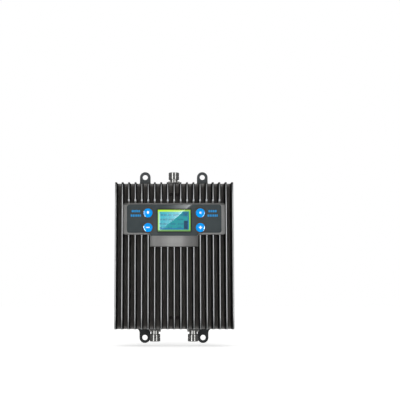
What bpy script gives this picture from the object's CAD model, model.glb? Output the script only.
"""Looks of the cellular signal booster: detailed pieces, materials, light and camera.

The pieces start from places and sizes in the CAD frame. Lengths are in millimetres and
turn into metres where a mesh is made or a texture is placed. Only the lights are placed in
metres. The front faces -Y and Z is up.
"""

import math

import bmesh
import bpy
from mathutils import Matrix, Vector


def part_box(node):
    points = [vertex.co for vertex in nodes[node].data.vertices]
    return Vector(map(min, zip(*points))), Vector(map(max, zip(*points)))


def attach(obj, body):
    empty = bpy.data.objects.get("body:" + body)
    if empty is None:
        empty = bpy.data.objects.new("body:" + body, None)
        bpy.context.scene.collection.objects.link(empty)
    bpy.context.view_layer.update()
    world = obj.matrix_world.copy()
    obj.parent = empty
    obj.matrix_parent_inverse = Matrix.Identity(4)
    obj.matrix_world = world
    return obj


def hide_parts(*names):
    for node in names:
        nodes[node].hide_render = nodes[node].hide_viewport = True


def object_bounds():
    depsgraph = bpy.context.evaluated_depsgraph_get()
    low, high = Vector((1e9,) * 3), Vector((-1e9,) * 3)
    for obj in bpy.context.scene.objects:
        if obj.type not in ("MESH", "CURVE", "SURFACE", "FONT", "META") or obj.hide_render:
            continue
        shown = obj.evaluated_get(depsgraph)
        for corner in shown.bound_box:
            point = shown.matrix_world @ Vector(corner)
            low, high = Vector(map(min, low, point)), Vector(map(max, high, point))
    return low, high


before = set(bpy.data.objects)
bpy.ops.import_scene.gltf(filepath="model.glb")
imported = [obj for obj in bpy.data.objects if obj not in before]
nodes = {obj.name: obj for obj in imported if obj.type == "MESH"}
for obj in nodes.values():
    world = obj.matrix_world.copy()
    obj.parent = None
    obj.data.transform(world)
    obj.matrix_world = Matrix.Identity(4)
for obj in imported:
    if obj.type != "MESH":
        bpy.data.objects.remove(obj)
cad_low, cad_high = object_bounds()

# A millimetre in metres
MM = 0.001


# ---------- Places from the frame, in millimetres ----------


def box_mm(node):
    low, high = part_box(node)
    return low / MM, high / MM


def middle_mm(node):
    low, high = box_mm(node)
    return (low + high) / 2


housing_low, housing_high = box_mm("heatsink_housing")
panel_low, panel_high = box_mm("control_overlay")
window_low, window_high = box_mm("display_window")
LCD = middle_mm("display_window")

# Depths of the fin crests, the panel's face, the plateau under the panel and the lit glass
CREST_Y = housing_low.y
PANEL_Y = panel_low.y
PLATEAU_Y = panel_high.y
GLASS_Y = box_mm("lcd_glass")[0].y

# Half of the housing's width and height, and the heights where the panel starts and ends
HALF_W = housing_high.x
HALF_H = housing_high.z
PANEL_LOW = panel_low.z
PANEL_TOP = panel_high.z

# Fins side by side from edge to edge, their thickness at the root and their distance
FIN_COUNT = 19
FIN_ROOT = 3.2
FIN_PITCH = (2 * HALF_W - FIN_ROOT) / (FIN_COUNT - 1)

BUTTONS = ("menu", "minus", "select", "plus")
JACKS = ("outdoor", "indoor_left", "indoor_right")


# ---------- Camera ----------

LENS = 67.1
SENSOR = 36

# Place of the camera: in front of the crests, and left of and below the unit's middle
CAMERA_AWAY = 1094
CAMERA_LEFT = 15.1
CAMERA_BELOW = 65.1

# Upward tilt in degrees, and the part of the framing that is left to the lens
CAMERA_PITCH = 5.2
SHIFT_X = 0.09
SHIFT_Y = 0.079


def make_camera():
    data = bpy.data.cameras.new("camera")
    data.lens = LENS
    data.sensor_width = SENSOR
    data.shift_x = SHIFT_X
    data.shift_y = SHIFT_Y
    data.clip_start = 0.01
    data.clip_end = 100
    camera = bpy.data.objects.new("camera", data)
    camera.location = Vector((-CAMERA_LEFT, CREST_Y - CAMERA_AWAY, -CAMERA_BELOW)) * MM
    camera.rotation_euler = (math.radians(90 + CAMERA_PITCH), 0, 0)
    bpy.context.scene.collection.objects.link(camera)
    bpy.context.scene.camera = camera


# ---------- The light card whose reflection crosses the display ----------

# Tilt of its edge, where the reflected edge crosses the display, and distance to the panel
GLARE_TILT = 40.4
GLARE_SHIFT = -2.4
GLARE_AWAY = 1300

# Size of the card, width of its bright edge, and how it glows and fades along its length
GLARE_LONG = 700
GLARE_WIDE = 60
GLARE_EDGE = 3
GLARE_LINE = 0.7
GLARE_GLOW = 1.9
GLARE_DECAY = 55
GLARE_MOST = 6.0

# How far the edge moves to the right for each millimetre up
SLANT = 1 / math.tan(math.radians(GLARE_TILT))


# ---------- Material building blocks ----------


def srgb(code):
    """Linear colour of a six-digit colour code."""
    values = [int(code[i : i + 2], 16) / 255 for i in (0, 2, 4)]
    return [v / 12.92 if v <= 0.04045 else ((v + 0.055) / 1.055) ** 2.4 for v in values] + [1]


class Look:
    """A material in the making: its tree, its shader and the object's own coordinates."""

    def __init__(self, name, colour, roughness=0.5, metallic=0.0, **sockets):
        self.material = bpy.data.materials.new(name)
        self.material.use_nodes = True
        self.tree = self.material.node_tree
        self.shader = self.tree.nodes["Principled BSDF"]
        self.coords = self.tree.nodes.new("ShaderNodeTexCoord").outputs["Object"]
        self.colour = srgb(colour)
        self.shader.inputs["Base Color"].default_value = self.colour
        self.shader.inputs["Roughness"].default_value = roughness
        self.shader.inputs["Metallic"].default_value = metallic
        for socket, value in sockets.items():
            self.shader.inputs[socket.replace("_", " ")].default_value = value
        self.height = None

    def link(self, output, node_input):
        self.tree.links.new(output, node_input)

    def feed(self, value, node_input):
        """Links an output to an input, or sets the input to a uniform value."""
        if isinstance(value, bpy.types.NodeSocket):
            self.link(value, node_input)
        else:
            node_input.default_value = value

    def noise(self, size, detail=3.0, stretch=None, seed=0.0):
        """Noise with lumps of about that size in millimetres."""
        node = self.tree.nodes.new("ShaderNodeTexNoise")
        node.noise_dimensions = "4D"
        node.inputs["W"].default_value = seed
        node.inputs["Scale"].default_value = 1 / (size * MM)
        node.inputs["Detail"].default_value = detail
        source = self.coords
        if stretch:
            mapping = self.tree.nodes.new("ShaderNodeMapping")
            mapping.inputs["Scale"].default_value = stretch
            self.link(source, mapping.inputs["Vector"])
            source = mapping.outputs["Vector"]
        self.link(source, node.inputs["Vector"])
        return node.outputs["Fac"]

    def cells(self, size):
        node = self.tree.nodes.new("ShaderNodeTexVoronoi")
        node.inputs["Scale"].default_value = 1 / (size * MM)
        self.link(self.coords, node.inputs["Vector"])
        return node.outputs["Distance"]

    def part(self, vector, axis):
        node = self.tree.nodes.new("ShaderNodeSeparateXYZ")
        self.link(vector, node.inputs["Vector"])
        return node.outputs[axis]

    def axis(self, name):
        return self.part(self.coords, name)

    def off_middle(self, name, middle=0.0):
        """Distance along an axis, to either side, from a middle in millimetres."""
        return self.magnitude(self.maths("SUBTRACT", self.axis(name), middle * MM))

    def normal(self, axis):
        return self.part(self.tree.nodes.new("ShaderNodeTexCoord").outputs["Normal"], axis)

    def facing_front(self):
        """How much the surface looks to the front: 1 straight on, 0 sideways."""
        return self.maths("MULTIPLY", self.normal("Y"), -1.0)

    def facing_sideways(self):
        """How much the surface looks to either side: 1 straight on, 0 to the front."""
        return self.magnitude(self.normal("X"))

    def spread(self, value, low, high, to_low=0.0, to_high=1.0):
        """Maps low..high of a value smoothly to to_low..to_high."""
        node = self.tree.nodes.new("ShaderNodeMapRange")
        node.interpolation_type = "SMOOTHSTEP"
        node.inputs["From Min"].default_value = low
        node.inputs["From Max"].default_value = high
        node.inputs["To Min"].default_value = to_low
        node.inputs["To Max"].default_value = to_high
        self.link(value, node.inputs["Value"])
        return node.outputs["Result"]

    def ramp(self, value, start, end, to_low=0.0, to_high=1.0):
        """Like spread, for a place or a distance: start and end are in millimetres."""
        return self.spread(value, start * MM, end * MM, to_low, to_high)

    def magnitude(self, value):
        return self.maths("ABSOLUTE", value, 0)

    def times(self, *values):
        product = values[0]
        for value in values[1:]:
            product = self.maths("MULTIPLY", product, value)
        return product

    def maths(self, operation, a, b):
        node = self.tree.nodes.new("ShaderNodeMath")
        node.operation = operation
        self.feed(a, node.inputs[0])
        self.feed(b, node.inputs[1])
        return node.outputs[0]

    def mix(self, factor, a, b):
        """Colour a where the factor is 0 and colour b where it is 1."""
        node = self.tree.nodes.new("ShaderNodeMix")
        node.data_type = "RGBA"
        self.link(factor, node.inputs[0])
        self.feed(a, node.inputs[6])
        self.feed(b, node.inputs[7])
        return node.outputs[2]

    def patches(self, size, detail=4.0, low=0.35, high=0.65):
        """Soft patches of about that size in millimetres, from 0 to 1."""
        return self.spread(self.noise(size, detail), low, high)

    def paint(self, colour):
        self.link(colour, self.shader.inputs["Base Color"])

    def mottle(self, other, size):
        """Varies the base colour towards another one in soft patches."""
        colour = self.mix(self.patches(size), self.colour, srgb(other))
        self.paint(colour)
        return colour

    def vary_roughness(self, low, high, size):
        value = self.spread(self.noise(size, 4, seed=3), 0.3, 0.7, low, high)
        self.link(value, self.shader.inputs["Roughness"])

    def bump(self, value, depth, strength=1.0):
        """Adds relief of that depth in millimetres on top of the relief so far."""
        node = self.tree.nodes.new("ShaderNodeBump")
        node.inputs["Distance"].default_value = depth * MM
        node.inputs["Strength"].default_value = strength
        self.link(value, node.inputs["Height"])
        if self.height is not None:
            self.link(self.height, node.inputs["Normal"])
        self.height = node.outputs["Normal"]
        self.link(self.height, self.shader.inputs["Normal"])

    def glow(self, colour, strength=1.0):
        self.feed(colour, self.shader.inputs["Emission Color"])
        self.feed(strength, self.shader.inputs["Emission Strength"])


# ---------- Materials ----------


def valley_floors(look):
    """Colour of the floors between the fins: lighter at both ends, dark along the fins."""
    plain = look.mix(look.patches(18), srgb("625d5a"), srgb("696561"))
    rim = look.ramp(look.off_middle("Z"), HALF_H - 6, HALF_H - 1)
    plain = look.mix(rim, plain, srgb("8e8c8a"))
    from_fin = look.maths("PINGPONG", look.axis("X"), FIN_PITCH / 2 * MM)
    foot = look.ramp(from_fin, FIN_ROOT / 2, FIN_ROOT / 2 + 1.4, 1.0, 0.0)
    in_valley = look.ramp(look.axis("Y"), PLATEAU_Y + 4, PLATEAU_Y + 6)
    return look.mix(look.times(foot, in_valley), plain, srgb("1a1817"))


def housing_sides(look):
    """Colour of what doesn't face the front: the fins' sides are darker than the outside."""
    beside = look.ramp(look.off_middle("X"), HALF_W - 0.5, HALF_W - 0.2)
    above = look.ramp(look.off_middle("Z"), HALF_H - 0.5, HALF_H - 0.2)
    outside = look.maths("MAXIMUM", beside, above)
    return look.mix(outside, srgb("080808"), srgb("2b2927"))


def plateau_metal(look):
    """Bare metal round the panel, and the field below it with a sheen in its middle."""
    shade = look.ramp(look.axis("X"), 8, 32)
    sheen = look.ramp(look.off_middle("X"), 22, 6)
    field = look.mix(sheen, srgb("8a8a89"), srgb("a0a09f"))
    field = look.mix(shade, field, srgb("686868"))
    below_panel = look.ramp(look.axis("Z"), PANEL_LOW + 1, PANEL_LOW - 1)
    metal = look.mix(below_panel, srgb("989897"), field)
    upper_edge = look.ramp(look.axis("Z"), PANEL_TOP - 1, PANEL_TOP)
    return look.mix(upper_edge, metal, srgb("686867"))


def crest_silver(look):
    """Colour of the worn crests, which dulls towards both ends of the fins."""
    above = look.ramp(look.axis("Z"), 0.72 * HALF_H, HALF_H)
    below = look.ramp(look.axis("Z"), -0.8 * HALF_H, -0.95 * HALF_H)
    return look.mix(look.maths("ADD", above, below), srgb("cccecf"), srgb("888a8b"))


def housing_look():
    """Black anodised casting: raised faces are lighter, crests are worn, fin sides stay dark."""
    look = Look("housing_coat", "403f3d", roughness=0.5)
    facing = look.facing_front()
    depth = look.axis("Y")
    scuffs = look.spread(look.noise(6, 6, stretch=(1, 1, 0.15), seed=2), 0.3, 0.7, 0.85, 1.0)
    front = look.spread(facing, 0.3, 0.6)
    coat = look.mix(front, housing_sides(look), valley_floors(look))
    raised = look.ramp(depth, PLATEAU_Y + 2, PLATEAU_Y + 1)
    coat = look.mix(look.times(raised, front, scuffs), coat, plateau_metal(look))
    crest = look.ramp(depth, CREST_Y + 5, CREST_Y + 3.5)
    coat = look.mix(crest, coat, srgb("0b0b0a"))
    narrow = look.spread(look.facing_sideways(), 0.55, 0.33)
    below_tips = look.ramp(look.axis("Z"), HALF_H - 3.8, HALF_H - 2.5, 1.0, 0.0)
    worn = look.times(crest, narrow, scuffs, below_tips)
    look.paint(look.mix(worn, coat, crest_silver(look)))
    look.link(look.spread(facing, 0.2, 0.6, 0.12, 0.5), look.shader.inputs["Specular IOR Level"])
    look.vary_roughness(0.42, 0.58, 5)
    look.bump(look.noise(0.5, 2), 0.02)
    look.bump(look.cells(0.9), 0.02, 0.6)
    return look.material


def plate_look():
    """Grey coat of the wall plate, darker on the lower ears."""
    look = Look("plate_coat", "4d5153", roughness=0.5, metallic=0.2)
    upper = look.mottle("54585a", 25)
    low_ears = look.ramp(look.axis("Z"), -0.9 * HALF_H, -1.05 * HALF_H)
    look.paint(look.mix(low_ears, upper, srgb("3a3d3f")))
    look.vary_roughness(0.42, 0.58, 8)
    look.bump(look.noise(0.6, 3), 0.02)
    look.bump(look.cells(1.1), 0.015, 0.6)
    return look.material


def panel_look():
    look = Look("panel_film", "41484a", roughness=0.025)
    look.mottle("444b4d", 12)
    look.bump(look.noise(8, 2), 0.002)
    return look.material


def rubber_look():
    look = Look("seal_rubber", "1a1a1a", roughness=0.75)
    look.mottle("222222", 2)
    look.bump(look.noise(0.3, 3), 0.02)
    return look.material


def metal_look(name, colour, other, roughness, grain=(1, 1, 1), grain_depth=0.004):
    look = Look(name, colour, roughness=roughness, metallic=1.0)
    look.mottle(other, 3)
    look.vary_roughness(roughness * 0.8, roughness * 1.25, 1.5)
    look.bump(look.noise(0.25, 3, stretch=grain), grain_depth)
    return look.material


def plastic_look(name, colour, other, roughness):
    look = Look(name, colour, roughness=roughness)
    look.mottle(other, 4)
    look.vary_roughness(roughness * 0.85, roughness * 1.15, 3)
    look.bump(look.noise(0.3, 3), 0.008)
    return look.material


def button_look():
    look = Look("button_plastic", "00a2ff", roughness=0.05, Specular_IOR_Level=0.18)
    look.mottle("009af6", 3)
    look.bump(look.noise(1.5, 2), 0.004)
    return look.material


def ink_look(name, colour, other, glow=0.0):
    look = Look(name, colour, roughness=0.4)
    look.glow(srgb(colour), glow)
    look.mottle(other, 0.8)
    look.bump(look.noise(0.2, 2), 0.003)
    return look.material


def screen_look(name, colour, other, size):
    """A lit part of the display: its own light, a little uneven."""
    look = Look(name, "0a1416", roughness=0.3)
    look.glow(look.mix(look.patches(size, 3, 0.3, 0.7), srgb(colour), srgb(other)))
    return look.material


def ground_look():
    """The lit glass: brighter on the upper left than on the lower right."""
    look = Look("display_ground", "0a1416", roughness=0.3)
    slant = look.maths("SUBTRACT", look.axis("X"), look.maths("MULTIPLY", look.axis("Z"), SLANT))
    middle = LCD.x + GLARE_SHIFT - SLANT * LCD.z
    fade = look.ramp(slant, middle - 3, middle + 3)
    patches = look.patches(9, 3, 0.3, 0.7)
    left = look.mix(patches, srgb("2ab0c2"), srgb("32b8ca"))
    right = look.mix(patches, srgb("1c9aa0"), srgb("229ea4"))
    left_edge = look.ramp(look.axis("X"), LCD.x - 20.2, LCD.x - 21.4)
    left = look.mix(left_edge, left, srgb("a8f0f0"))
    right_edge = look.ramp(look.axis("X"), LCD.x + 21.2, LCD.x + 21.9)
    right = look.mix(right_edge, right, srgb("4aa48c"))
    end_lines = look.ramp(look.off_middle("Z", LCD.z), 12.6, 13.1, 0.0, 0.75)
    end_lines = look.times(end_lines, look.maths("SUBTRACT", 1.0, left_edge))
    look.glow(look.mix(end_lines, look.mix(fade, left, right), srgb("3c9c90")))
    return look.material


def border_look():
    """The display's lit edge: yellow-green on top, paler at the left, darker below."""
    look = Look("display_border", "12200a", roughness=0.3)
    across = look.ramp(look.axis("X"), LCD.x - 23, LCD.x + 23)
    sides = look.mix(across, srgb("b0e68c"), srgb("80cc5c"))
    top = look.mix(across, srgb("c0f43c"), srgb("a0cc5c"))
    up = look.ramp(look.axis("Z"), LCD.z + 12.5, LCD.z + 14)
    down = look.ramp(look.axis("Z"), LCD.z - 13.5, LCD.z - 15)
    look.glow(look.mix(down, look.mix(up, sides, top), srgb("74a058")))
    look.bump(look.noise(0.8, 2), 0.01)
    return look.material


def window_look():
    look = Look("display_lens", "ffffff", roughness=0.015, IOR=1.49, Transmission_Weight=1.0)
    look.bump(look.noise(14, 1), 0.004)
    return look.material


def floor_look():
    look = Look("floor_paper", "f4f4f3", roughness=0.8, Specular_IOR_Level=0.1)
    look.mottle("f7f7f6", 120)
    look.bump(look.noise(3, 3), 0.05)
    look.glow(srgb("ffffff"), 0.55)
    return look.material


def card_look():
    """Light card: it fades from a bright edge across its width, and along its length."""
    look = Look("light_card", "000000", roughness=1.0)
    half = GLARE_WIDE / 2
    edge = GLARE_EDGE - half
    fade = look.ramp(look.axis("Y"), -half, half, 1.0, 0.0)
    line = look.ramp(look.axis("Y"), edge - 1, edge + 1, GLARE_LINE, 0.0)
    along = look.maths("EXPONENT", look.maths("DIVIDE", look.axis("X"), GLARE_DECAY * MM), 0)
    glow = look.times(look.maths("MINIMUM", along, GLARE_MOST), GLARE_GLOW)
    look.glow(srgb("ffffff"), look.times(glow, look.maths("ADD", fade, line)))
    return look.material


def make_materials():
    return {
        "housing": housing_look(),
        "plate": plate_look(),
        "panel": panel_look(),
        "rubber": rubber_look(),
        "nickel": metal_look("jack_nickel", "d0d0ce", "c6c6c3", 0.1, grain_depth=0.001),
        "zinc": metal_look("screw_zinc", "b9b8b4", "a9a8a4", 0.3),
        "black_steel": plastic_look("black_oxide", "4c4845", "443f3c", 0.5),
        "brass": metal_look("spacer_brass", "c8a45a", "bd9850", 0.3),
        "gold": metal_look("contact_gold", "d9b45c", "cfa850", 0.2),
        "tin": metal_look("shield_tin", "bcbec0", "b0b2b4", 0.35, grain=(1, 1, 0.1)),
        "copper": metal_look("jumper_copper", "c08a60", "b07c54", 0.3, grain=(1, 1, 0.1)),
        "ptfe": plastic_look("white_plastic", "e4e2dc", "dad8d2", 0.4),
        "black": plastic_look("black_plastic", "1c1c1c", "242424", 0.45),
        "chip": plastic_look("chip_plastic", "202122", "282828", 0.5),
        "board": plastic_look("board_mask", "0e4a2a", "0c4226", 0.3),
        "pad": plastic_look("thermal_pad", "c8a0a6", "c098a0", 0.8),
        "sleeve": plastic_look("capacitor_sleeve", "1c2458", "181f4e", 0.35),
        "guide": plastic_look("light_guide", "e6efe8", "dde8e0", 0.3),
        "button": button_look(),
        "window": window_look(),
        "border": border_look(),
        "ground": ground_look(),
        "text": screen_look("display_text", "186c8c", "1e7494", 3),
        "line": screen_look("display_line", "0464ac", "0a6cb4", 5),
        "field": screen_look("display_field", "1c6e94", "20769c", 5),
        "status": screen_look("display_status", "c0f050", "b4ec60", 8),
        "navy": screen_look("display_navy", "0e3e62", "14466a", 2),
        "dark": screen_look("display_dark", "123e58", "184662", 2),
        "white_ink": ink_look("white_ink", "f8fafc", "f0f2f6", glow=0.2),
        "blue_ink": ink_look("blue_ink", "1a8fd4", "1c88c8"),
        "mask_ink": ink_look("mask_ink", "1e1a26", "241f2b"),
        "ring_ink": ink_look("ring_ink", "4e3a16", "563f1a"),
    }


# ---------- Mesh building blocks ----------


def front_from(x, y, z):
    """Turns what is drawn up +Z to point to the front, from that place."""
    return Matrix.Translation((x, y, z)) @ Matrix.Rotation(math.radians(90), 4, "X")


def up_from(x, y, z):
    return Matrix.Translation((x, y, z))


def down_from(x, y, z):
    return Matrix.Translation((x, y, z)) @ Matrix.Rotation(math.pi, 4, "X")


def object_from(name, bm, place, material):
    """Makes an object from a mesh drawn in millimetres."""
    bmesh.ops.transform(bm, matrix=Matrix.Scale(MM, 4) @ place, verts=bm.verts)
    bmesh.ops.recalc_face_normals(bm, faces=bm.faces)
    mesh = bpy.data.meshes.new(name)
    bm.to_mesh(mesh)
    bm.free()
    mesh.materials.append(material)
    piece = bpy.data.objects.new(name, mesh)
    bpy.context.scene.collection.objects.link(piece)
    return piece


def finish_mesh(name, bm, place, material, body, replaces=(), smooth_below=35):
    """Makes the piece and puts it on its body. Edges below that angle are shaded smooth."""
    bmesh.ops.remove_doubles(bm, verts=bm.verts, dist=1e-4)
    piece = object_from(name, bm, place, material)
    for polygon in piece.data.polygons:
        polygon.use_smooth = True
    piece.data.set_sharp_from_angle(angle=math.radians(smooth_below))
    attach(piece, body)
    if replaces:
        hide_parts(*replaces)
    return piece


def arc(centre, radius, start, end, steps):
    """Points of an arc, with its angles in degrees."""
    points = []
    for i in range(steps + 1):
        angle = math.radians(start + (end - start) * i / steps)
        points.append(
            (centre[0] + radius * math.cos(angle), centre[1] + radius * math.sin(angle))
        )
    return points


def spin(bm, profile, segments=96, swell=None):
    """Turns a profile of (radius, height) about Z. swell changes a radius by turn and height."""
    rings = []
    for radius, height in profile:
        if radius < 1e-6:
            rings.append([bm.verts.new((0, 0, height))])
            continue
        ring = []
        for i in range(segments):
            turn = i / segments
            r = radius + (swell(radius, height, turn) if swell else 0)
            angle = 2 * math.pi * turn
            ring.append(bm.verts.new((r * math.cos(angle), r * math.sin(angle), height)))
        rings.append(ring)
    for low, high in zip(rings, rings[1:]):
        for i in range(segments):
            j = (i + 1) % segments
            below = [low[i % len(low)], low[j % len(low)]]
            above = [high[j % len(high)], high[i % len(high)]]
            corners = list(dict.fromkeys(below + above))
            if len(corners) > 2:
                bm.faces.new(corners)


def round_outline(width, height, radius, steps=6):
    """Outline of a rectangle with round corners, centred."""
    x = width / 2 - radius
    y = height / 2 - radius
    points = []
    for corner, (cx, cy) in enumerate(((x, y), (-x, y), (-x, -y), (x, -y))):
        points += arc((cx, cy), radius, corner * 90, corner * 90 + 90, steps)
    return points


def ring_at(bm, outline, height, shift):
    return [bm.verts.new((x + shift[0], y + shift[1], height)) for x, y in outline]


def join_rings(bm, rings):
    """Faces between each ring of corners and the next one."""
    for low, high in zip(rings, rings[1:]):
        for i in range(len(low)):
            j = (i + 1) % len(low)
            bm.faces.new((low[i], low[j], high[j], high[i]))


def slab(bm, outline, low, high, edge=0.0, shift=(0, 0)):
    """Solid between two heights over an outline, with its upper edge broken by a chamfer."""
    cx = sum(p[0] for p in outline) / len(outline)
    cy = sum(p[1] for p in outline) / len(outline)
    size = max(max(abs(p[0] - cx), abs(p[1] - cy)) for p in outline)
    levels = [(low, 0), (high - edge, 0), (high, edge)] if edge else [(low, 0), (high, 0)]
    rings = []
    for height, inset in levels:
        k = 1 - inset / size
        shrunk = [(cx + (x - cx) * k, cy + (y - cy) * k) for x, y in outline]
        rings.append(ring_at(bm, shrunk, height, shift))
    join_rings(bm, rings)
    bm.faces.new(reversed(rings[0]))
    bm.faces.new(rings[-1])


def band(bm, outer, inner, low, high, shift=(0, 0)):
    """Solid ring between two outlines with the same number of points."""
    corners = ((outer, low), (outer, high), (inner, high), (inner, low))
    rings = [ring_at(bm, outline, height, shift) for outline, height in corners]
    join_rings(bm, rings + rings[:1])


# ---------- CAD nodes that stay: softened edges and materials ----------

# Material of each CAD node, by its whole name or by how its name ends
LOOK_OF_NODE = {
    "heatsink_housing": "housing",
    "back_plate": "plate",
    "back_plate_gasket": "rubber",
    "back_plate_screws": "zinc",
    "valley_screws": "black_steel",
    "control_overlay": "panel",
    "display_window": "window",
    "lcd_frame": "border",
    "lcd_glass": "ground",
    "lcd_backlight": "guide",
    "display_board": "board",
    "display_board_screws": "zinc",
    "display_header": "ptfe",
    "ribbon_cable": "ptfe",
    "main_header": "ptfe",
    "main_board": "board",
    "main_board_screws": "zinc",
    "board_spacers": "brass",
    "outdoor_duplexer": "tin",
    "indoor_duplexer": "tin",
    "uplink_shield": "tin",
    "downlink_shield": "tin",
    "uplink_amplifier": "chip",
    "downlink_amplifier": "chip",
    "uplink_thermal_pad": "pad",
    "downlink_thermal_pad": "pad",
    "power_inductor": "chip",
    "power_capacitors": "sleeve",
    "controller_chip": "chip",
    "jack_flange_screws": "zinc",
    "dc_jack_body": "black",
    "dc_jack_pin": "nickel",
}
LOOK_OF_ENDING = {
    "_plunger": "black",
    "_switch": "black",
    "_button": "button",
    "_insulator": "ptfe",
    "_contact": "gold",
    "_seal": "rubber",
    "_jumper": "copper",
    "_jack_body": "nickel",
}

# Width of the rounding on the sharp edges of the nodes that show them
SOFT_EDGES = {
    "heatsink_housing": 0.3,
    "back_plate": 0.35,
    "control_overlay": 0.15,
    "back_plate_screws": 0.12,
    "valley_screws": 0.12,
    "jack_flange_screws": 0.15,
    "dc_jack_body": 0.2,
}


def look_name(node):
    if node in LOOK_OF_NODE:
        return LOOK_OF_NODE[node]
    return next(look for end, look in LOOK_OF_ENDING.items() if node.endswith(end))


def soften(obj, width):
    """Joins the CAD mesh's split faces and rounds its sharp edges."""
    weld = obj.modifiers.new("weld", "WELD")
    weld.merge_threshold = 1e-6
    flat = obj.modifiers.new("flat", "DECIMATE")
    flat.decimate_type = "DISSOLVE"
    flat.angle_limit = math.radians(0.5)
    bevel = obj.modifiers.new("bevel", "BEVEL")
    bevel.width = width * MM
    bevel.segments = 2
    bevel.limit_method = "ANGLE"
    bevel.angle_limit = math.radians(40)
    bevel.use_clamp_overlap = True


def dress_nodes(looks):
    for name, obj in nodes.items():
        obj.data.materials.clear()
        obj.data.materials.append(looks[look_name(name)])
    for name, width in SOFT_EDGES.items():
        soften(nodes[name], width)


# ---------- Buttons ----------

# Radius of the cap above the panel, and the lip that holds it behind the panel
CAP_R = 6.8
LIP_R = 7.6
LIP_T = 0.8
LIP_EDGE = 0.1

# Rounded edge, chamfer with its lean in degrees, and the dome inside it
CAP_EDGE = 0.35
CHAMFER_W = 1.2
CHAMFER_LEAN = 33
DOME_RISE = 1.4
DOME_R = (CAP_R**2 + DOME_RISE**2) / (2 * DOME_RISE)
DOME_STEPS = 16

# Icons: height over the dome, depth below it at the rim and in the middle, and mesh steps
ICON_RISE = 0.05
ICON_SINK = 0.3
ICON_FOOT = 0.5
ICON_SKIRT = 0.04
ICON_TURNS = 96
ICON_RINGS = 6
MENU_ICON_UP = 0.8


def cap_height(node):
    """Height of a cap from the foot of its lip to the top of its dome."""
    low, high = box_mm(node)
    return high.y - low.y


def dome_height(crown, radius):
    """Height of the dome's face at that distance from its middle."""
    return crown - DOME_R + math.sqrt(DOME_R**2 - radius**2)


def button_place(node):
    """The middle of a cap's foot, with the cap pointing to the front."""
    low, high = box_mm(node)
    return front_from((low.x + high.x) / 2, high.y, (low.z + high.z) / 2)


def cap_profile(crown):
    """Half section of a cap: lip, wall, rounded edge, chamfer and dome."""
    edge = CAP_R - CAP_EDGE
    turn = math.radians(90 - CHAMFER_LEAN)
    rim = edge + CAP_EDGE * math.cos(turn) - CHAMFER_W
    top = dome_height(crown, rim)
    foot = top - CHAMFER_W * math.tan(math.radians(CHAMFER_LEAN))
    profile = [(0, 0), (LIP_R - LIP_EDGE, 0), (LIP_R, LIP_EDGE), (LIP_R, LIP_T), (CAP_R, LIP_T)]
    profile += arc((edge, foot - CAP_EDGE * math.sin(turn)), CAP_EDGE, 0, math.degrees(turn), 6)
    # Rings on the chamfer keep its shading flat
    for part in (0.75, 0.5, 0.25):
        profile.append((rim + CHAMFER_W * part, top + (foot - top) * part))
    for i in range(DOME_STEPS + 1):
        radius = rim * (1 - i / DOME_STEPS)
        profile.append((radius, dome_height(crown, radius)))
    return profile


def make_cap(button, looks):
    node = f"{button}_button"
    bm = bmesh.new()
    spin(bm, cap_profile(cap_height(node)))
    return finish_mesh(
        f"{button}_cap", bm, button_place(node), looks["button"], f"{button}_key",
        [node], smooth_below=50,
    )


def drop_reach(angle):
    """A round head over a pointed foot."""
    head = 1.6
    foot = 2.5
    down = max(0.0, -math.sin(angle))
    return head + (foot - head) * down**6


def bar_reach(half_w, half_h):
    """How far a rectangle reaches from its middle at an angle."""

    def reach(angle):
        across = half_w / max(abs(math.cos(angle)), 1e-6)
        up = half_h / max(abs(math.sin(angle)), 1e-6)
        return min(across, up)

    return reach


def plus_reach(angle):
    """How far a plus reaches: the further of its two bars."""
    flat = bar_reach(2.3, 0.75)
    tall = bar_reach(0.75, 2.3)
    return max(flat(angle), tall(angle))


ICONS = {
    "menu": drop_reach,
    "minus": bar_reach(2.5, 0.75),
    "select": bar_reach(1.35, 1.35),
    "plus": plus_reach,
}


def on_dome(bm, crown, radius, angle, up, rise):
    """A vertex of an icon that is drawn that far above the cap's middle."""
    x = radius * math.cos(angle)
    y = radius * math.sin(angle) + up
    return bm.verts.new((x, y, dome_height(crown, math.hypot(x, y)) + rise))


def make_icon(button, looks):
    """White inlay that follows the dome, in the shape of the button's icon."""
    node = f"{button}_button"
    crown = cap_height(node)
    reach = ICONS[button]
    up = MENU_ICON_UP if button == "menu" else 0
    angles = [2 * math.pi * (i + 0.5) / ICON_TURNS for i in range(ICON_TURNS)]
    bm = bmesh.new()
    loops = []
    for k in range(1, ICON_RINGS + 1):
        part = k / ICON_RINGS
        loops.append([on_dome(bm, crown, reach(a) * part, a, up, ICON_RISE) for a in angles])
    skirt = [on_dome(bm, crown, reach(a) + ICON_SKIRT, a, up, -ICON_SINK) for a in angles]
    loops.append(skirt)
    top = on_dome(bm, crown, 0, 0, up, ICON_RISE)
    foot = on_dome(bm, crown, 0, 0, up, -ICON_FOOT)
    for i in range(ICON_TURNS):
        j = (i + 1) % ICON_TURNS
        bm.faces.new((top, loops[0][i], loops[0][j]))
        bm.faces.new((foot, skirt[j], skirt[i]))
        for inner, outer in zip(loops, loops[1:]):
            bm.faces.new((inner[i], outer[i], outer[j], inner[j]))
    finish_mesh(
        f"{button}_icon", bm, button_place(node), looks["white_ink"], f"{button}_key",
    )


# ---------- Coaxial jacks ----------

# Flange and neck, with heights above the end face of the housing
FLANGE_W = 17.5
FLANGE_LOW = 0.8
FLANGE_HIGH = 2.8
NECK_R = 5.7
NECK_END = 7.8

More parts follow.
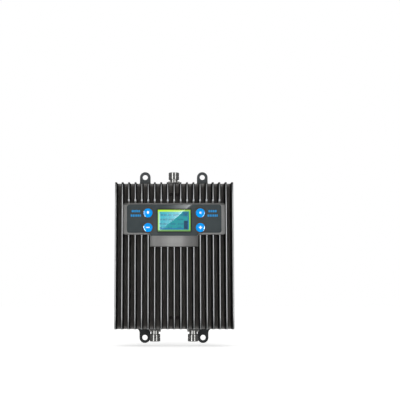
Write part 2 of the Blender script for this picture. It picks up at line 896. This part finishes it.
# Barrel: its shoulder and nose are round, and a groove parts its thread in two
THREAD_R = 7.94
THREAD_PITCH = 25.4 / 24
THREAD_DEPTH = 0.3
THREAD_GROOVE = 0.3
THREAD_FADE = 0.6
THREAD_STEPS = 12
JACK_L = 18.8
SHOULDER_R = 1.1
NOSE_R = 0.9
GROOVE = (12.7, 13.6)
GROOVE_DEPTH = 0.55
GROOVE_SLOPE = 0.2

# Bore with its chamfer and the narrower hole at its foot, and the rear inside the housing
BORE_R = 4.05
BORE_EDGE = 0.45
BORE_FOOT = 6.0
HOLE_R = 3.5
REAR_R = 5.5
REAR_L = 5.0


def thread_swell(radius, height, turn):
    """Depth of the thread's valley at that height and turn, on the barrel only."""
    first = NECK_END + SHOULDER_R + 0.3
    last = JACK_L - NOSE_R - THREAD_FADE
    if radius < THREAD_R - 0.05 or not first < height < last:
        return 0
    if GROOVE[0] - 0.3 < height < GROOVE[1] + 0.3:
        return 0
    fade = min(1, (height - first) / THREAD_FADE, (last - height) / THREAD_FADE)
    phase = (height / THREAD_PITCH - turn) % 1
    return -THREAD_DEPTH * fade * max(0, 1 - abs(2 * phase - 1) / THREAD_GROOVE)


def thread_run(low, high):
    """Points up the barrel, close enough together to carry the thread."""
    points = []
    height = low
    while height < high:
        points.append((THREAD_R, height))
        height += THREAD_PITCH / THREAD_STEPS
    return points


def barrel_profile():
    """Half section of the barrel: shoulder, thread, groove, thread, nose, bore and rear."""
    low, high = GROOVE
    floor = THREAD_R - GROOVE_DEPTH
    neck = (NECK_R, FLANGE_HIGH - 0.5)
    profile = [neck, (NECK_R, NECK_END)]
    profile += arc((THREAD_R - SHOULDER_R, NECK_END + SHOULDER_R), SHOULDER_R, -90, 0, 6)
    profile += thread_run(NECK_END + SHOULDER_R + 0.1, low)
    profile += [(THREAD_R, low), (floor, low + GROOVE_SLOPE), (floor, high - GROOVE_SLOPE)]
    profile += [(THREAD_R, high)]
    profile += thread_run(high + THREAD_PITCH / THREAD_STEPS, JACK_L - NOSE_R - 0.1)
    profile += arc((THREAD_R - NOSE_R, JACK_L - NOSE_R), NOSE_R, 0, 90, 6)
    profile += [(BORE_R + BORE_EDGE, JACK_L), (BORE_R, JACK_L - BORE_EDGE), (BORE_R, BORE_FOOT)]
    profile += [(HOLE_R, BORE_FOOT), (HOLE_R, -REAR_L), (REAR_R, -REAR_L)]
    profile += [(REAR_R, FLANGE_LOW + 0.5), neck]
    return profile


def jack_place(jack):
    """On the top face of the housing, or turned over on its bottom face."""
    middle = middle_mm(f"{jack}_jack_body")
    if middle.z > 0:
        return up_from(middle.x, middle.y, HALF_H)
    return down_from(middle.x, middle.y, -HALF_H)


def make_jack(jack, looks):
    bm = bmesh.new()
    spin(bm, barrel_profile(), segments=128, swell=thread_swell)
    slab(bm, round_outline(FLANGE_W, FLANGE_W, 1.0), FLANGE_LOW, FLANGE_HIGH, edge=0.25)
    finish_mesh(
        f"{jack}_jack_shell", bm, jack_place(jack), looks["nickel"], "root",
        [f"{jack}_jack_body"], smooth_below=40,
    )


# ---------- Prints on the panel ----------

# Thickness of what is printed or shown on a flat face
PRINT_T = 0.04

# Labels beside the upper buttons: distance from the middle, heights of the rows and sizes
LABEL_X = 57.0
LABEL_ROWS = (65.6, 59.0)
LABEL_H = 3.4
DASH_GAP = 0.55

# Border round the display, by where it starts and ends outside the window
MASK_GAP = 0.2
MASK_END = 1.8

# Rings round the caps: inner radius, width and number of points
RING_R = 7.0
RING_W = 1.3
RING_STEPS = 72


def print_on_panel(name, bm, x, ink):
    finish_mesh(name, bm, front_from(x, PANEL_Y, 0), ink, "root")


def dash_row(bm, widths, z):
    """A row of short round-ended dashes, centred."""
    x = -(sum(widths) + DASH_GAP * (len(widths) - 1)) / 2
    for width in widths:
        outline = round_outline(width, LABEL_H, min(width, LABEL_H) * 0.3, 3)
        slab(bm, outline, 0, PRINT_T, shift=(x + width / 2, z))
        x += width + DASH_GAP


def make_labels(looks):
    """Two rows of plain dashes beside each upper button."""
    rows = {
        "left": ((3.4, 2.4, 2.6, 2.4), (2.6, 2.2, 1.4, 2.4, 2.2, 1.6)),
        "right": ((2.8, 2.4, 2.6, 2.8), (2.6, 2.2, 1.4, 2.4, 2.2, 1.6)),
    }
    for side, lines in rows.items():
        bm = bmesh.new()
        for widths, z in zip(lines, LABEL_ROWS):
            dash_row(bm, widths, z)
        x = -LABEL_X if side == "left" else LABEL_X
        print_on_panel(f"{side}_label", bm, x, looks["blue_ink"])


def make_masks(looks):
    """Printed borders: dark round the display, brown round the buttons."""
    bm = bmesh.new()
    width = window_high.x - window_low.x
    height = window_high.z - window_low.z
    outer = round_outline(width + 2 * MASK_END, height + 2 * MASK_END, MASK_END)
    inner = round_outline(width + 2 * MASK_GAP, height + 2 * MASK_GAP, 0.3)
    band(bm, outer, inner, 0, PRINT_T, (LCD.x, LCD.z))
    print_on_panel("panel_masks", bm, 0, looks["mask_ink"])
    bm = bmesh.new()
    last = 360 - 360 / RING_STEPS
    for button in BUTTONS:
        middle = middle_mm(f"{button}_button")
        outer = arc((0, 0), RING_R + RING_W, 0, last, RING_STEPS - 1)
        inner = arc((0, 0), RING_R, 0, last, RING_STEPS - 1)
        band(bm, outer, inner, 0, PRINT_T, (middle.x, middle.z))
    print_on_panel("button_rings", bm, 0, looks["ring_ink"])


# ---------- Display contents ----------

# Segments of each digit: a, g and d lie from top to bottom, f and e left, b and c right
SEGMENTS_OF = {
    0: "abcdef", 1: "bc", 2: "abged", 3: "abgcd", 4: "fgbc",
    5: "afgcd", 6: "afgedc", 7: "abc", 8: "abcdefg", 9: "abcdfg",
}


def finish_on_glass(name, bm, material):
    place = front_from(LCD.x, GLASS_Y, LCD.z)
    finish_mesh(name, bm, place, material, "root")


def bar(bm, x, z, width, height, level=0):
    """A flat bar, centred at x and z. A higher level lies over a lower one."""
    slab(bm, round_outline(width, height, 0.12, 2), 0, PRINT_T * (1 + level), shift=(x, z))


def digit(bm, value, x, z, width, height, stroke, level):
    """A seven-segment digit, centred at x and z."""
    half_w = width / 2
    half_h = height / 2
    places = {
        "a": (0, half_h, width, stroke),
        "g": (0, 0, width, stroke),
        "d": (0, -half_h, width, stroke),
        "f": (-half_w, half_h / 2, stroke, half_h),
        "b": (half_w, half_h / 2, stroke, half_h),
        "e": (-half_w, -half_h / 2, stroke, half_h),
        "c": (half_w, -half_h / 2, stroke, half_h),
    }
    for segment in SEGMENTS_OF[value]:
        dx, dz, w, h = places[segment]
        lift = level + "abcdefg".index(segment) * 0.05
        bar(bm, x + dx, z + dz, w * 0.9, h * 0.9, level=lift)


def number(bm, text, x, z, size, level):
    """Digits from left to right, of that height."""
    for character in text:
        digit(bm, int(character), x, z, size * 0.5, size, size * 0.16, level)
        x += size * 0.8


# Height of the letters, middle of each row of text, and width and gap of the letters
TEXT_H = 2.7
TEXT_ROWS = (8.6, 1.8, -4.7, -10.0)
LETTER_W = 1.15
LETTER_GAP = 0.4

# The words of each row: where a word starts and how many letters it has
WORDS = (
    ((-20.2, 3), (-15.0, 3), (-8.2, 3), (-1.0, 4), (9.6, 3)),
    ((-20.6, 2), (-16.6, 4), (-8.4, 2), (-4.6, 3), (5.0, 6)),
    ((-20.2, 2), (-16.2, 3), (-10.4, 1), (-5.4, 5), (5.0, 2), (9.2, 3)),
    ((-20.2, 2), (-15.6, 1), (-9.6, 2), (-5.0, 1), (5.0, 4)),
)


def letter(bm, kind, x, z):
    """A plain block with a notch: it only suggests a letter."""
    half = TEXT_H / 2
    if kind == 0:
        bar(bm, x, z, LETTER_W, TEXT_H)
    elif kind == 1:
        bar(bm, x, z - half * 0.25, LETTER_W, TEXT_H * 0.75)
    else:
        bar(bm, x - LETTER_W * 0.3, z, LETTER_W * 0.45, TEXT_H)
        bar(bm, x + LETTER_W * 0.2, z - half * 0.5, LETTER_W * 0.55, TEXT_H * 0.45, level=1)


def make_display_text(looks):
    bm = bmesh.new()
    kind = 0
    for row, z in zip(WORDS, TEXT_ROWS):
        for start, letters in row:
            for i in range(letters):
                letter(bm, kind % 3, start + LETTER_W / 2 + i * (LETTER_W + LETTER_GAP), z)
                kind += 1
    finish_on_glass("display_text", bm, looks["text"])


def make_display_lines(looks):
    """Blue ruling along the right and the bottom, a field at the top right, and ticks."""
    bm = bmesh.new()
    bar(bm, x=20.9, z=-3.4, width=1.5, height=19.4)
    bar(bm, x=-3.4, z=-12.3, width=35.0, height=1.6)
    for z in (11.6, -4.6, -10.6):
        bar(bm, x=-21.0, z=z, width=1.1, height=1.6, level=1)
    finish_on_glass("display_lines", bm, looks["line"])
    bm = bmesh.new()
    bar(bm, x=17.3, z=9.6, width=8.6, height=6.4)
    finish_on_glass("display_field", bm, looks["field"])
    bm = bmesh.new()
    number(bm, "42", x=15.6, z=9.6, size=3.2, level=2)
    finish_on_glass("display_number", bm, looks["navy"])


def make_display_meter(looks):
    """Block at the lower right with stacked level bars."""
    bm = bmesh.new()
    bar(bm, x=17.2, z=-6.6, width=5.8, height=13.0)
    finish_on_glass("display_meter", bm, looks["navy"])
    bm = bmesh.new()
    for z, width in ((-2.0, 4.0), (-4.4, 3.2), (-8.2, 2.4), (-10.4, 3.4)):
        bar(bm, x=17.2, z=z, width=width, height=1.7, level=1)
    finish_on_glass("display_levels", bm, looks["dark"])


def make_display_marks(looks):
    """Small status marks on the display's upper border, and a status line below it."""
    low, high = box_mm("lcd_frame")
    bm = bmesh.new()
    for x, width in ((4.4, 1.5), (9.1, 1.3), (13.1, 1.3), (18.2, 1.7)):
        bar(bm, x=x, z=high.z - LCD.z - 1.3, width=width, height=1.2)
    place = front_from(LCD.x, low.y + 0.02 + PRINT_T, LCD.z)
    finish_mesh("display_marks", bm, place, looks["line"], "root")
    bm = bmesh.new()
    bar(bm, x=-6.2, z=13.5, width=31.0, height=0.8)
    finish_on_glass("display_status", bm, looks["status"])


# ---------- Stage: floor, light and world ----------

# Room under the lowest jack, and size of the round floor with its broken edges
FLOOR_GAP = 3
FLOOR_R = 6000
FLOOR_T = 20

# Lights that give the caps their glints: distance to the cap, length and width, in metres
CRESCENT_AWAY = 0.2
CRESCENT_LONG = 0.36
CRESCENT_WIDE = 0.045

# Light of the studio round and below the unit, and straight overhead
STUDIO_DIM = 0.14
STUDIO_BRIGHT = 0.7


def stage_piece(name, bm, place, material):
    """Makes a piece of the stage from a mesh drawn in millimetres."""
    piece = object_from(name, bm, place, material)
    return piece


def make_floor():
    """A wide round floor under the unit, which reflections don't show."""
    profile = [(0, -FLOOR_T), (FLOOR_R - 10, -FLOOR_T), (FLOOR_R, 10 - FLOOR_T)]
    profile += [(FLOOR_R, -4), (FLOOR_R - 6, 0), (0, 0)]
    bm = bmesh.new()
    spin(bm, profile)
    floor = stage_piece("floor", bm, up_from(0, 0, cad_low.z / MM - FLOOR_GAP), floor_look())
    floor.visible_glossy = False


def area_light(name, place, width, height, radiance, target=(0, -0.03, 0), across=None):
    """A soft box of that radiance, turned to the target. Places and sizes are in metres."""
    data = bpy.data.lights.new(name, "AREA")
    data.shape = "RECTANGLE"
    data.size = width
    data.size_y = height
    data.energy = radiance * math.pi * width * height
    light = bpy.data.objects.new(name, data)
    light.location = place
    aim = (Vector(target) - Vector(place)).normalized()
    if across:
        side = Vector(across).cross(aim).cross(aim).normalized()
        axes = Matrix((side, (-aim).cross(side), -aim)).transposed()
        light.rotation_euler = axes.to_euler()
    else:
        light.rotation_euler = aim.to_track_quat("-Z", "Y").to_euler()
    light.visible_camera = False
    bpy.context.scene.collection.objects.link(light)
    return light


def around(azimuth, distance, height):
    """A place at that azimuth from the front, towards +X."""
    angle = math.radians(azimuth)
    return (distance * math.sin(angle), -distance * math.cos(angle), height)


def only_on(light, name, receivers):
    """Lets a light or a glowing piece light those objects only."""
    group = bpy.data.collections.new(name)
    for receiver in receivers:
        group.objects.link(receiver)
    light.light_linking.receiver_collection = group


def make_lights():
    """Two strips beside the camera, a box in front and a box overhead."""
    area_light("left_strip", around(-33, 1.3, 0.15), width=0.42, height=1.3, radiance=2.3)
    area_light("right_strip", around(33, 1.3, 0.15), width=0.42, height=1.3, radiance=1.9)
    front = area_light("front", around(-6, 1.7, -0.5), width=0.5, height=0.5, radiance=9.5)
    front.visible_glossy = False
    area_light("top", (0, -0.3, 1.3), width=1.0, height=0.6, radiance=0.9)


def make_crescent_light(button, cap, turn, lean, radiance):
    """Light low beside one cap, which mirrors it in its chamfer. Angles are in degrees."""
    middle = middle_mm(f"{button}_button") * MM
    lean = math.radians(lean)
    turn = math.radians(turn)
    aside = Vector((math.cos(turn), 0, math.sin(turn)))
    place = middle + (aside * math.sin(lean) - Vector((0, math.cos(lean), 0))) * CRESCENT_AWAY
    light = area_light(
        f"{button}_crescent", place, CRESCENT_LONG, CRESCENT_WIDE, radiance, middle,
        across=(-math.sin(turn), 0, math.cos(turn)),
    )
    light.visible_diffuse = False
    only_on(light, f"{button}_crescent", [cap])


def make_crescent_lights(caps):
    """The left caps glint at their left edge, the right caps at their right edge."""
    make_crescent_light("menu", caps["menu"], turn=190, lean=62, radiance=34)
    make_crescent_light("minus", caps["minus"], turn=204, lean=62, radiance=80)
    make_crescent_light("select", caps["select"], turn=-30, lean=66.5, radiance=90)
    make_crescent_light("plus", caps["plus"], turn=-24, lean=66.5, radiance=72)


def make_glare_card():
    """A long card whose reflection crosses the display at a slant."""
    reach = GLARE_AWAY / (CAMERA_AWAY + PANEL_Y - CREST_Y)
    lean = math.radians(GLARE_TILT)
    on_panel_x = LCD.x + GLARE_SHIFT
    edge_x = on_panel_x + (on_panel_x + CAMERA_LEFT) * reach
    edge_z = LCD.z + (LCD.z + CAMERA_BELOW) * reach
    x = edge_x - math.sin(lean) * GLARE_WIDE / 2
    z = edge_z + math.cos(lean) * GLARE_WIDE / 2
    bm = bmesh.new()
    slab(bm, round_outline(GLARE_LONG, GLARE_WIDE, 2), 0, 1)
    card = stage_piece("light_card", bm, Matrix(), card_look())
    lean_over = Matrix.Rotation(-lean, 4, "Y")
    card.matrix_world = (
        Matrix.Translation(Vector((x, PANEL_Y - GLARE_AWAY, z)) * MM)
        @ lean_over
        @ Matrix.Rotation(math.radians(90), 4, "X")
    )
    card.visible_camera = False
    lit = [nodes[name] for name in ("control_overlay", "display_window", "heatsink_housing")]
    only_on(card, "light_card", lit)


def make_world():
    """White to the camera; for light and reflections a dim studio, brighter overhead."""
    world = bpy.data.worlds.new("studio")
    world.use_nodes = True
    tree = world.node_tree
    background = tree.nodes["Background"]
    coords = tree.nodes.new("ShaderNodeTexCoord")
    split = tree.nodes.new("ShaderNodeSeparateXYZ")
    tree.links.new(coords.outputs["Generated"], split.inputs["Vector"])
    glow = tree.nodes.new("ShaderNodeMapRange")
    glow.interpolation_type = "SMOOTHSTEP"
    glow.inputs["From Min"].default_value = 0.1
    glow.inputs["From Max"].default_value = 0.9
    glow.inputs["To Min"].default_value = STUDIO_DIM
    glow.inputs["To Max"].default_value = STUDIO_BRIGHT
    tree.links.new(split.outputs["Z"], glow.inputs["Value"])
    path = tree.nodes.new("ShaderNodeLightPath")
    strength = tree.nodes.new("ShaderNodeMix")
    strength.inputs["B"].default_value = 1.0
    tree.links.new(path.outputs["Is Camera Ray"], strength.inputs["Factor"])
    tree.links.new(glow.outputs["Result"], strength.inputs["A"])
    tree.links.new(strength.outputs["Result"], background.inputs["Strength"])
    background.inputs["Color"].default_value = (1, 1, 1, 1)
    bpy.context.scene.world = world
    bpy.context.scene.view_settings.view_transform = "Standard"


# ---------- The whole scene ----------


def main():
    make_camera()
    looks = make_materials()
    dress_nodes(looks)
    caps = {button: make_cap(button, looks) for button in BUTTONS}
    for button in BUTTONS:
        make_icon(button, looks)
    for jack in JACKS:
        make_jack(jack, looks)
    make_labels(looks)
    make_masks(looks)
    make_display_text(looks)
    make_display_lines(looks)
    make_display_meter(looks)
    make_display_marks(looks)
    make_floor()
    make_lights()
    make_crescent_lights(caps)
    make_glare_card()
    make_world()


main()
